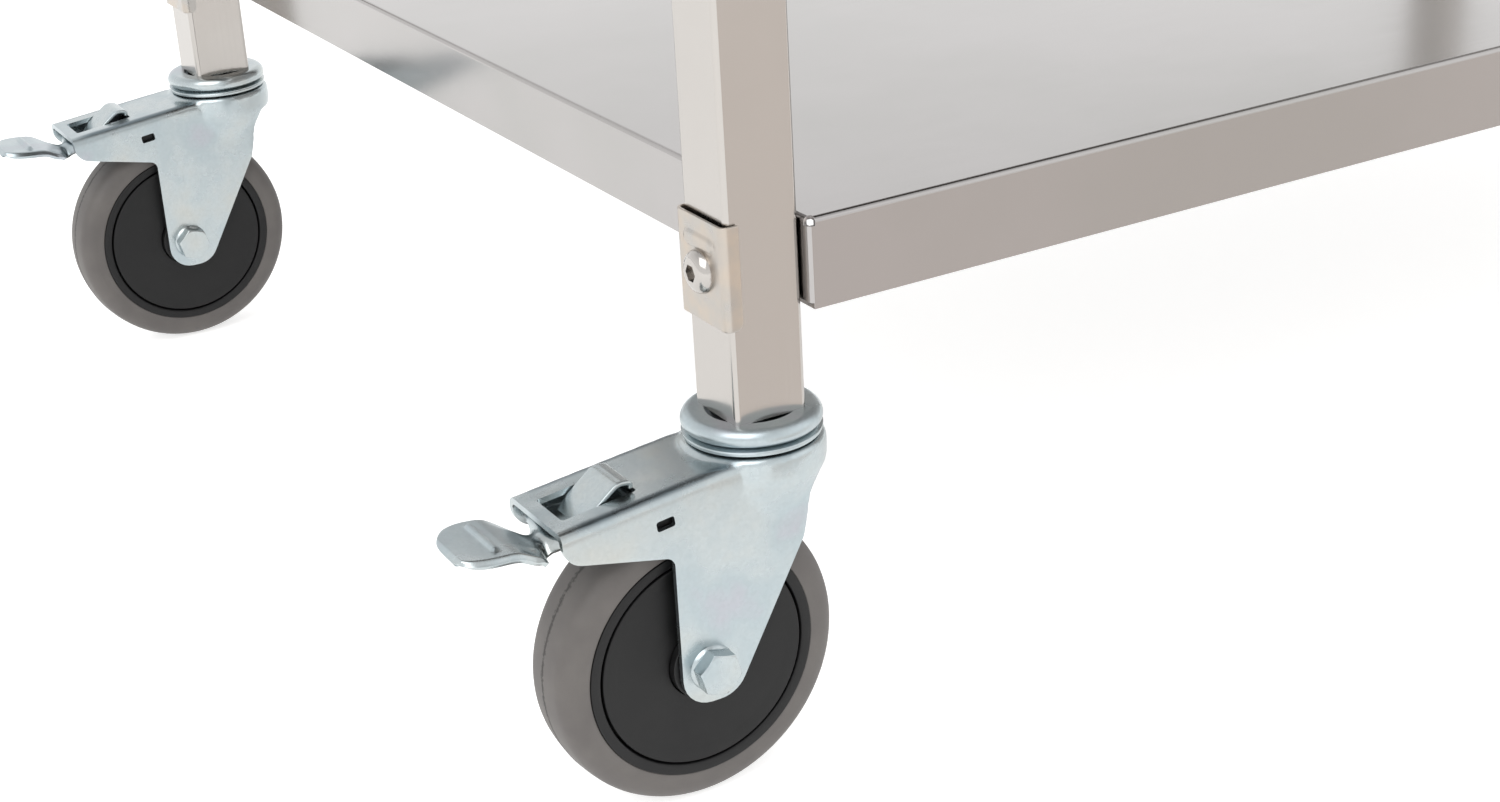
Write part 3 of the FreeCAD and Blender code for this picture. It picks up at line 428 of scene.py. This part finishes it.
def roundCorners(outline, steps=5):
    # outline: (across, up, rounding) for each corner of a closed shape; each corner becomes an arc
    points = []
    spots = [Vector(corner[:2]) for corner in outline]
    for index, (across, up, rounding) in enumerate(outline):
        here = spots[index]
        back = (spots[index - 1] - here).normalized()
        ahead = (spots[(index + 1) % len(spots)] - here).normalized()
        if rounding == 0:
            points.append(here)
            continue
        half = back.angle(ahead) / 2
        centre = here + (back + ahead).normalized() * rounding / math.sin(half)
        first, last = here + back * rounding / math.tan(half), here + ahead * rounding / math.tan(half)
        sweep = [(first - centre).slerp(last - centre, step / steps) for step in range(steps + 1)]
        points += [centre + spoke * rounding for spoke in sweep]
    return points


def spunPiece(name, outline, centre, along, steps=96, arcSteps=5):
    # a closed outline of (place along the axis, radius, rounding) in mm, spun a full turn about that axis
    out = Vector((1, 0, 0)) if along.z else Vector((0, 0, 1))
    points = [centre + (along * point.x + out * point.y) * mm for point in roundCorners(outline, arcSteps)]
    mesh = bpy.data.meshes.new(name)
    mesh.from_pydata(points, [(index, (index + 1) % len(points)) for index in range(len(points))], [])
    piece = bpy.data.objects.new(name, mesh)
    bpy.context.scene.collection.objects.link(piece)
    editAll(piece)
    bpy.ops.mesh.spin(steps=steps, angle=2 * math.pi, center=centre, axis=along)
    bpy.ops.mesh.select_all(action="SELECT")
    bpy.ops.mesh.remove_doubles(threshold=weldGap["spun"] * mm)
    bpy.ops.mesh.normals_make_consistent(inside=False)
    bpy.ops.object.mode_set(mode="OBJECT")
    smoothBelow(piece, 35)
    return piece


def bentSheet(name, columns, rows, place):
    # a grid whose points are put in place by place(u, v), with u and v from 0 to 1
    bpy.ops.object.select_all(action="DESELECT")
    bpy.ops.mesh.primitive_grid_add(x_subdivisions=columns, y_subdivisions=rows, size=2)
    piece = bpy.context.object
    piece.name = name
    for point in piece.data.vertices:
        point.co = place((point.co.x + 1) / 2, (point.co.y + 1) / 2)
    piece.data.update()
    return piece


def joined(name, pieces):
    bpy.ops.object.select_all(action="DESELECT")
    for piece in pieces:
        piece.select_set(True)
    bpy.context.view_layer.objects.active = pieces[0]
    bpy.ops.object.join()
    pieces[0].name = name
    return pieces[0]


def finishPiece(piece, paint, slotName, body, *nodes):
    piece.data.materials.clear()
    piece.data.materials.append(paint)
    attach(piece, body)
    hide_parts(*nodes)


def movedCopy(piece, name, shift):
    copy = bpy.data.objects.new(name, piece.data.copy())
    bpy.context.scene.collection.objects.link(copy)
    copy.data.transform(shift)
    return copy


def toCorner(corner):  # from the front left caster's place to this corner's
    turn = Matrix.Rotation(0 if corner.endswith("left") else math.pi, 4, "Z")
    return Matrix.Translation(swivelAxis(corner)) @ turn @ Matrix.Translation(-home)


def toAllCorners(master, kind, paint, slotName, bodyKind, *nodeKinds):
    for corner in corners[1:]:
        copy = movedCopy(master, corner + "_" + kind, toCorner(corner))
        finishPiece(copy, paint, slotName, corner + bodyKind, *[corner + "_" + part for part in nodeKinds])
    master.name = corners[0] + "_" + kind
    finishPiece(master, paint, slotName, corners[0] + bodyKind,
                *[corners[0] + "_" + part for part in nodeKinds])
    print(kind, "done")


def climb(value, start, end):  # 0 before start, 1 after end, smooth between
    t = min(max((value - start) / (end - start), 0), 1)
    return t * t * (3 - 2 * t)


def curveThrough(stops, value):  # a smooth curve through (place, level) stops
    for index in range(len(stops) - 1):
        (a, low), (b, high) = stops[index], stops[index + 1]
        if value > b:
            continue
        before, after = stops[max(index - 1, 0)], stops[min(index + 2, len(stops) - 1)]
        t = max((value - a) / (b - a), 0)
        start = (high - before[1]) / (b - before[0]) * (b - a)
        end = (after[1] - low) / (after[0] - a) * (b - a)
        rise = high - low
        return low + start * t + (3 * rise - 2 * start - end) * t ** 2 + (start + end - 2 * rise) * t ** 3
    return stops[-1][1]


def lengthsAlong(line):
    lengths = [0]
    for before, after in zip(line, line[1:]):
        lengths.append(lengths[-1] + (after - before).length)
    return lengths


def spotAlong(line, lengths, travel):
    index = max(i for i in range(len(line) - 1) if lengths[i] <= travel)
    share = (travel - lengths[index]) / (lengths[index + 1] - lengths[index])
    return line[index].lerp(line[index + 1], share)


def thicken(piece, sheet, offset, edge, degrees):  # a grid becomes sheet metal with soft edges
    useModifier(piece, "SOLIDIFY", {"thickness": sheet * mm, "offset": offset})
    useModifier(piece, "BEVEL", {"width": edge * mm, "segments": 2, "limit_method": "ANGLE",
                                 "angle_limit": math.radians(degrees)})
    smoothBelow(piece, 60)


def bothSides(half):  # half of an outline and its mirror image on the other side of the middle
    return half + [(-place, radius, rounding) for place, radius, rounding in reversed(half)]


# frame sheets, tubes and fasteners

sheetEdges = {"worktop": 0.5, "middle_shelf": 0.3, "bottom_shelf": 0.3, "worktop_channels": 0.25,
             "worktop_stiffener": 0.25}
for node, width in sheetEdges.items():
    sheetPiece = looseCopy(node, node + "Sheet")
    easeEdges(sheetPiece, width)
    finishPiece(sheetPiece, sheetSteel, "polished_steel", "root", node)
print("sheets done")

tubeEdge = 0.22
for corner in corners:
    tube = looseCopy(corner + "_leg", corner + "_tube")
    easeEdges(tube, tubeEdge)
    finishPiece(tube, tubeSteel, "polished_steel", "root", corner + "_leg")
print("legs done")

fastenerLook = {"frame_bolts": {"edge": 0.3, "paint": tubeSteel, "slot": "polished_steel"},
                "frame_nuts": {"edge": 0.25, "paint": zinc, "slot": "zinc_steel"}}
for node, look in fastenerLook.items():
    fasteners = looseCopy(node, node + "Soft")
    easeEdges(fasteners, look["edge"])
    finishPiece(fasteners, look["paint"], look["slot"], "root", node)
print("frame bolts and nuts done")

# ribFade: where the rib's foot starts and ends, from the edge of its round
clipShape = {"sheet": 1.0, "half": 14.3, "halfWide": 13.6, "lip": 8.9, "bend": 2.1, "tall": 33, "below": 31,
             "cornerRound": 2.6, "ribDown": 7.5, "ribHalf": 6.1, "ribRound": 2.1, "ribFade": (-0.5, 0.4),
             "ribProud": 0.8, "edge": 0.2, "columns": 70, "rows": 60}


def makeClips():
    look = clipShape
    half, wide, lip = look["half"], look["halfWide"], look["lip"]
    line = roundCorners([(-lip, -wide, 0), (-half, -wide, look["bend"]), (-half, wide, look["bend"]),
                         (-lip, wide, 0)])
    lengths = lengthsAlong(line)
    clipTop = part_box("bottom_shelf")[1].z / mm + look["tall"] - look["below"]

    def place(u, v):
        travel = u * lengths[-1]
        spot = spotAlong(line, lengths, travel)
        fromEnd = min(travel, lengths[-1] - travel)
        corner = look["cornerRound"]
        lift = corner - math.sqrt(max(corner ** 2 - (corner - fromEnd) ** 2, 0)) if fromEnd < corner else 0
        down = (look["tall"] - lift) * (1 - v)
        ribAway = math.hypot(max(abs(spot.y) - look["ribHalf"], 0), down - look["ribDown"])
        start, end = (look["ribRound"] + fade for fade in look["ribFade"])
        onFace = abs(spot.x + half) < 0.01
        outwards = look["ribProud"] * (1 - climb(ribAway, start, end)) if onFace else 0
        return home + Vector((spot.x - outwards, spot.y, clipTop - down)) * mm

    clip = bentSheet("clip", look["columns"], look["rows"], place)
    thicken(clip, look["sheet"], 0, look["edge"], 60)
    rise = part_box("middle_shelf")[1].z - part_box("bottom_shelf")[1].z
    clips = [clip]
    for corner in corners:
        for lift in (0, rise):
            if corner != corners[0] or lift:
                clips.append(movedCopy(clip, "clip", Matrix.Translation((0, 0, lift)) @ toCorner(corner)))
    finishPiece(joined("shelfClips", clips), clipSteel, "polished_steel", "root", "shelf_clips")
    print("clips done")


makeClips()

# casters

# (height, radius, rounding) from the bore over the top bead and down the skirt
cupLook = {"outline": [(120.9, 5, 0), (123.6, 5, 0), (123.6, 12.8, 1.2), (125.4, 14.8, 1.0),
                       (125.4, 22.3, 3.4), (118.8, 22.3, 2.4), (119.1, 21.2, 0.35), (118.15, 21.9, 0.5),
                       (117.15, 21.9, 0.25), (117.15, 19.9, 0.2), (120.9, 19.9, 0.4)]}


def makeCups():
    cup = spunPiece("cup", cupLook["outline"], home, Vector((0, 0, 1)), arcSteps=9)
    cups = [cup] + [movedCopy(cup, "cup", toCorner(corner)) for corner in corners[1:]]
    finishPiece(joined("swivelCups", cups), zinc, "zinc_steel", "root", "swivel_cups")
    print("cups done")


makeCups()

# sizes in mm from the swivel axis; outline: (along, height, rounding) of the fork seen from its side
forkLook = {"voxel": 0.8, "press": 26, "settle": 3, "pressLow": (84, 97), "pressHigh": (112.6, 114.8),
            "pressOut": (27, 34), "pressTop": 0.8, "sheet": 2, "side": 18, "armTip": (-76, 109),
            "armRoot": (-21, 115), "slot": (-71.3, -45.9), "slotHalf": 8.8, "slotRound": 1.2,
            "slotCut": (-5, 9), "windowAt": (-41.6, 103.3), "windowSize": (6.2, 3.4), "windowRound": 0.8,
            "windowTurn": 7, "windowFill": (4.5, 3.6), "fillMore": 1, "fillRound": 0.5, "fillIn": 0.05,
            # foldFrom, foldTo, foldIn, foldOut, foldDeep and the fold's darkness place the painted dark
            # reflection along the arm's fold
            "foldFrom": (-77, -66), "foldTo": (-22, -8), "foldIn": (13.2, 15.2), "foldOut": (16.4, 17.6),
            "foldDeep": (2.6, 1), "foldReflectionDark": 0.7, "grow": 1.4, "cutWide": 60, "smooth": 45,
            "outline": [(-76, 130, 0), (-76, 99.4, 7.5), (-39.4, 91.1, 3.5), (-39.4, 38, 10),
                        (-20.5, 38, 10), (6.2, 85, 6), (8.9, 94.4, 1.5), (26, 100, 0), (40, 130, 0)],
            "ring": [(112, 18, 0), (112, 23.2, 0), (115.4, 22.9, 0.4), (116.5, 21.6, 0.9), (116.5, 18, 0)]}


def slab(name, outline, depth, matrix):  # a flat outline in mm, given depth, then turned and put in place
    bpy.ops.object.select_all(action="DESELECT")
    bpy.ops.mesh.primitive_circle_add(vertices=len(outline), fill_type="NGON")
    piece = bpy.context.object
    piece.name = name
    for point, (across, up) in zip(piece.data.vertices, outline):
        point.co = Vector((across, up, 0)) * mm
    editAll(piece)
    bpy.ops.mesh.extrude_region_move(TRANSFORM_OT_translate={"value": (0, 0, depth * mm)})
    bpy.ops.mesh.select_all(action="SELECT")
    bpy.ops.mesh.normals_make_consistent(inside=False)
    bpy.ops.object.mode_set(mode="OBJECT")
    piece.data.transform(matrix)
    return piece


def rounded(low, high, rounding):  # a rectangle with round corners
    (x0, y0), (x1, y1) = low, high
    return roundCorners([(x0, y0, rounding), (x1, y0, rounding), (x1, y1, rounding), (x0, y1, rounding)], 4)


def cutWith(piece, cutter, operation="DIFFERENCE"):
    useModifier(piece, "BOOLEAN", {"operation": operation, "object": cutter, "solver": "EXACT"})
    bpy.data.objects.remove(cutter)


def growRim(piece, outline, width, reach=0.12):
    # moves the rim of the upright sheets outwards in their own plane; reach is how near the rim is
    for point in piece.data.vertices:
        spot = Vector(((point.co.x - home.x) / mm, point.co.z / mm))
        for index, end in enumerate(outline):
            start = outline[index - 1]
            near, share = intersect_point_line(spot, start, end)
            if 0 <= share <= 1 and (near - spot).length < reach:
                line = (end - start).normalized()
                point.co += Vector((line.y, 0, -line.x)) * width * mm
                break


def uprightAt(x, z):  # a drawing seen from the cart's front, put at this place in the caster's middle plane
    return Matrix.Translation(home + Vector((x, 0, z)) * mm) @ Matrix.Rotation(math.pi / 2, 4, "X")


def shifted(depth):
    return Matrix.Translation((0, 0, depth * mm))


def makeForks():
    # the pressed sheet: the plain shape, its rim grown and its openings filled, is remeshed and relaxed
    # where the drum was drawn out of it, then the rim and the openings are cut again with clean edges
    look = forkLook
    fork = looseCopy("front_left_fork", "fork")
    outline = roundCorners(look["outline"], 7)
    growRim(fork, outline, look["grow"])
    sheet, side, inset = look["sheet"], look["side"], look["fillIn"]
    (tipX, tipZ), (rootX, rootZ) = look["armTip"], look["armRoot"]
    slope = math.atan2(rootZ - tipZ, rootX - tipX)
    onArm = Matrix.Translation(home + Vector((tipX, 0, tipZ)) * mm) @ Matrix.Rotation(-slope, 4, "Y")
    slotLow, slotHigh = ((place - tipX) / math.cos(slope) for place in look["slot"])
    half, more = look["slotHalf"], look["fillMore"]
    slotFill = rounded((slotLow - more, -half - more), (slotHigh + more, half + more), look["fillRound"])
    fill = slab("fill", slotFill, sheet - 2 * inset, onArm @ shifted(inset - sheet))
    onSide = uprightAt(*look["windowAt"]) @ Matrix.Rotation(math.radians(look["windowTurn"]), 4, "Z")
    fillLong, fillTall = look["windowFill"]
    windowFill = rounded((-fillLong, -fillTall), (fillLong, fillTall), look["fillRound"])
    fills = [slab("fill", windowFill, sheet - 2 * inset, onSide @ shifted(depth))
             for depth in (side - sheet + inset, -side + inset)]
    ring = spunPiece("ring", look["ring"], home, Vector((0, 0, 1)), arcSteps=4)
    fork = joined("fork", [fork, fill, ring] + fills)
    useModifier(fork, "REMESH", {"mode": "VOXEL", "voxel_size": look["voxel"] * mm,
                                 "use_smooth_shade": True})
    drawn = fork.vertex_groups.new(name="drawn")
    for point in fork.data.vertices:
        spot = (point.co - home) / mm
        low = climb(spot.z, *look["pressLow"])
        high = 1 - look["pressTop"] * climb(spot.z, *look["pressHigh"])
        out = 1 - climb(math.hypot(spot.x, spot.y), *look["pressOut"])
        drawn.add([point.index], low * high * out, "REPLACE")
    useModifier(fork, "SMOOTH", {"factor": 0.5, "iterations": look["press"], "vertex_group": "drawn"})
    useModifier(fork, "SMOOTH", {"factor": 0.5, "iterations": look["settle"]})
    cutWide = look["cutWide"]
    cutWith(fork, slab("cutter", outline, cutWide, uprightAt(0, 0) @ shifted(-cutWide / 2)), "INTERSECT")
    under, deep = look["slotCut"]
    slotShape = rounded((slotLow, -half), (slotHigh, half), look["slotRound"])
    cutWith(fork, slab("cutter", slotShape, deep, onArm @ shifted(under)))
    long, tall = look["windowSize"]
    windowShape = rounded((-long / 2, -tall / 2), (long / 2, tall / 2), look["windowRound"])
    cutWith(fork, slab("cutter", windowShape, 2 * (side + sheet), onSide @ shifted(-side - sheet)))
    smoothBelow(fork, look["smooth"])
    # painted reflection: a dark band on top of the arm's near fold, where the shelf's dark underside is
    # mirrored; the zinc colour darkens by this amount
    shade = fork.data.attributes.new("foldReflection", "FLOAT", "POINT")
    deepest, shallowest = look["foldDeep"]
    for point in fork.data.vertices:
        spot = (point.co - home) / mm
        top = tipZ + (spot.x - tipX) * math.tan(slope)
        along = climb(spot.x, *look["foldFrom"]) * (1 - climb(spot.x, *look["foldTo"]))
        band = climb(abs(spot.y), *look["foldIn"]) * (1 - climb(abs(spot.y), *look["foldOut"]))
        near = climb(spot.z, top - deepest, top - shallowest)
        shade.data[point.index].value = look["foldReflectionDark"] * along * band * near
    toAllCorners(fork, "pressedFork", zinc, "zinc_steel", "_fork_body", "fork")


makeForks()

pinLook = {"half": 15.2, "radius": 2, "washer": 4.6, "washerLow": 13.3, "edge": 0.3}


def makePins():
    # the pin under the arm, ending just inside the side windows, with a washer behind each window; both are
    # painted near black as the shade seen in the windows
    look = pinLook
    half = [(look["half"], 0, 0), (look["half"], look["washer"], look["edge"]),
            (look["washerLow"], look["washer"], look["edge"]), (look["washerLow"], look["radius"], 0)]
    pin = spunPiece("pin", bothSides(half), middleOf("front_left_brake_pin"), Vector((0, 1, 0)), steps=40)
    toAllCorners(pin, "brakePin", windowShadeSteel, "zinc_steel", "_fork_body", "brake_pin")


makePins()

# distances from the wheel's middle plane and from its axle
tyreLook = {"half": 12.2, "inner": 39.5, "shoulder": 48.7, "crown": 50.25, "sideRound": 0.5,
            "shoulderRound": 6.2, "crownRound": 44}
seamLook = {"half": 0.45, "foot": 49.65, "top": 50.04, "round": 0.2}
hubLook = {"half": 12.6, "radius": 39.5, "rim": 36.0, "web": 3.5, "boss": 12, "bossHalf": 15.2,
           "bore": 6.06, "outerRound": 0.35, "rimRound": 0.8, "bossRound": 0.4, "boreRound": 0.3}
coverLook = {"radius": 35.3, "face": 12.5, "hole": 12.3, "sheet": 1.4, "rim": 5, "edgeRound": 0.55,
             "rimRound": 6, "dish": 0.2, "lip": 4, "lipRound": 3, "backRound": 0.2, "holeRound": 0.3}


def makeWheels():
    axle = middleOf("front_left_wheel_hub")
    across = Vector((0, 1, 0))
    look = tyreLook
    side = [(look["half"], look["inner"], look["sideRound"]),
            (look["half"], look["shoulder"], look["shoulderRound"])]
    # the crown's corner stands between the two halves
    section = side + [(0, look["crown"], look["crownRound"])] + bothSides(side)[len(side):]
    tyre = spunPiece("tyre", section, axle, across, steps=160, arcSteps=8)
    look = seamLook
    seam = spunPiece("seam", [(-look["half"], look["foot"], 0), (0, look["top"], look["round"]),
                              (look["half"], look["foot"], 0)], axle, across, steps=160, arcSteps=3)
    toAllCorners(joined("tyre", [tyre, seam]), "tyreBand", tyreRubber, "grey_rubber", "_wheel_body", "tyre")
    look = hubLook
    half = [(look["half"], look["radius"], look["outerRound"]),
            (look["half"], look["rim"], look["rimRound"]), (look["web"], look["rim"], look["rimRound"]),
            (look["web"], look["boss"], look["rimRound"]),
            (look["bossHalf"], look["boss"], look["bossRound"]),
            (look["bossHalf"], look["bore"], look["boreRound"])]
    hub = spunPiece("hub", bothSides(half), axle, across, steps=120, arcSteps=4)
    toAllCorners(hub, "mouldedHub", hubNylon, "black_nylon", "_wheel_body", "wheel_hub")
    look = coverLook
    face, hole, radius = look["face"], look["hole"], look["radius"]
    inside, dished = face - look["sheet"], face - look["dish"]
    cover = [(inside, hole, 0), (inside, radius, look["backRound"]), (face, radius, look["edgeRound"]),
             (dished, radius - look["rim"], look["rimRound"]),
             (dished, hole + look["lip"], look["lipRound"]), (face, hole, look["holeRound"])]
    covers = [spunPiece("cover", [(sign * place, far, rounding) for place, far, rounding in cover],
                        axle, across, steps=120) for sign in (-1, 1)]
    toAllCorners(joined("cover", covers), "dustCovers", hubNylon, "black_nylon", "_wheel_body",
                 "dust_covers")


makeWheels()

axleLook = {"axle_bolt": {"edge": 0.2, "turn": 15}, "axle_nut": {"edge": 0.2, "turn": 0}}


def makeAxles():
    axle = Matrix.Translation(middleOf("front_left_axle_sleeve"))
    for part, look in axleLook.items():
        fastener = looseCopy("front_left_" + part, part)
        turn = Matrix.Rotation(math.radians(look["turn"]), 4, "Y")
        fastener.data.transform(axle @ turn @ axle.inverted())
        easeEdges(fastener, look["edge"])
        toAllCorners(fastener, part + "Soft", zinc, "zinc_steel", "_fork_body", part)


makeAxles()

# the pedal's plan, seen from above: how far its sheet reaches to each side at each place along it; names
# that end in From and To are where along it a shape fades in and out, and Side is the share of its width
pedalLook = {"tip": -107.2, "end": -43, "sheet": 1.7, "top": 104.8, "bend": -77, "rise": 3.6, "edge": 0.35,
             "far": [(-107.2, -2.5), (-107, 0.8), (-106.4, 3.9), (-105.3, 6.8), (-103.6, 9.6),
                     (-101.5, 12.2), (-98.5, 14.2), (-95, 15.4), (-89.5, 15.7), (-86.2, 15.1),
                     (-84, 13.4), (-82, 10.2), (-80, 7.2), (-78.3, 5.2), (-76.6, 4.8), (-75.2, 6.4),
                     (-73.4, 12.6), (-43, 12.8)],
             "near": [(-107.2, 9.0), (-106.7, 11.3), (-105.4, 13.3), (-103, 14.9), (-100, 15.7),
                      (-96, 15.8), (-91, 15.3), (-87, 15.2), (-84, 15.7), (-81.6, 16.4), (-80.2, 16.7),
                      (-79.6, 15.4), (-78.9, 12.4), (-77.8, 10.4), (-76.4, 9.8), (-75, 11.2),
                      (-73.4, 12.7), (-43, 12.8)],
             "rim": 1.7, "rimSide": (0.88, 1.02), "tipRim": (-0.3, 1.9), "spoonTo": (-84, -79),
             "wingDroop": 1.2, "wingSide": (0.45, 1), "wingFrom": (-88, -79.5), "wingTo": (-79, -76),
             "dip": 1.3, "dipFrom": (-90, -81), "dipTo": (-79, -74),
             "neckDroop": 3.2, "neckFrom": (-82, -77), "neckTo": (-76, -72),
             "flangeDroop": 3.6, "flangeSide": (0.86, 1), "flangeFrom": (-74, -71),
             "ribAt": -93.6, "ribHalf": 9.2, "ribWide": 1.9, "ribFade": (0.3, 0.85), "ribProud": 1.15,
             "eyeHalf": 12.6, "eyeBore": 2.06, "eyeRadius": 3.6, "eyeRound": 0.4,
             "columns": 124, "rows": 40, "columnCrowd": 1.25, "rowCrowd": 0.35}


def makePedals():
    look = pedalLook
    slope = look["rise"] / (look["bend"] - look["tip"])

    def fadeIn(name, value):
        return climb(value, *look[name])

    def place(u, v):
        x = look["tip"] + (look["end"] - look["tip"]) * u ** look["columnCrowd"]
        far, near = curveThrough(look["far"], x), curveThrough(look["near"], x)
        side = 2 * v - 1
        side *= 1 + look["rowCrowd"] * (1 - side ** 2)  # rows lie closer together towards both edges
        y = (far - near) / 2 + side * (far + near) / 2
        side = abs(side)
        z = look["top"] + slope * max(look["bend"] - x, 0)
        spoon = 1 - fadeIn("spoonTo", x)
        neck = fadeIn("neckFrom", x) * (1 - fadeIn("neckTo", x))
        edge = max(fadeIn("rimSide", side), 1 - fadeIn("tipRim", x - look["tip"]))
        z -= look["rim"] * edge * spoon
        wing = fadeIn("wingFrom", x) * (1 - fadeIn("wingTo", x))
        z -= look["wingDroop"] * fadeIn("wingSide", side) * wing
        z -= look["dip"] * fadeIn("dipFrom", x) * (1 - fadeIn("dipTo", x))
        z -= look["neckDroop"] * side ** 2 * neck
        z -= look["flangeDroop"] * fadeIn("flangeSide", side) * fadeIn("flangeFrom", x)
        ribAway = math.hypot(x - look["ribAt"], max(abs(y) - look["ribHalf"], 0))
        z += look["ribProud"] * (1 - fadeIn("ribFade", ribAway / look["ribWide"]))
        return home + Vector((x, y, z)) * mm

    pedal = bentSheet("pedal", look["columns"], look["rows"], place)
    thicken(pedal, look["sheet"], -1, look["edge"], 55)
    end, bore, outer = look["eyeHalf"], look["eyeBore"], look["eyeRadius"]
    corner = look["eyeRound"]
    section = [(-end, bore, 0), (-end, outer, corner), (end, outer, corner), (end, bore, 0)]
    eye = spunPiece("eye", section, middleOf("front_left_brake_pin"), Vector((0, 1, 0)), steps=32)
    toAllCorners(joined("pedal", [pedal, eye]), "footPedal", zinc, "zinc_steel", "_pedal_body",
                 "brake_pedal")


makePedals()

# (along, height, rounding) of the tab's middle line, from under the slot up and over to its curled end
tabLook = {"half": 8.3, "sheet": 1.4, "edge": 0.3, "columns": 60, "rows": 12,
           "route": [(-66.2, 103.2, 0), (-61.6, 108.6, 14), (-56.6, 112.6, 12), (-51.8, 116.3, 5.5),
                     (-46.5, 115.5, 1.7), (-46.9, 112.9, 0)]}


def makeTabs():
    look = tabLook
    line = roundCorners(look["route"], 6)
    lengths = lengthsAlong(line)

    def place(u, v):
        spot = spotAlong(line, lengths, u * lengths[-1])
        return home + Vector((spot.x, (2 * v - 1) * look["half"], spot.y)) * mm

    tab = bentSheet("tab", look["columns"], look["rows"], place)
    thicken(tab, look["sheet"], -1, look["edge"], 55)
    toAllCorners(tab, "releaseTab", zinc, "zinc_steel", "_pedal_body", "release_tab")


makeTabs()

# the CAD nodes that stay get the finish of their slot
slotPaint = {"polished_steel": tubeSteel, "zinc_steel": zinc, "bearing_steel": bearingSteel,
             "grey_rubber": tyreRubber, "black_nylon": hubNylon}
for row in frame["record"]["subparts"]:
    node = frame["nodes"][row["node"]]
    node.data.materials.clear()
    node.data.materials.append(slotPaint[row["material_slot"]])
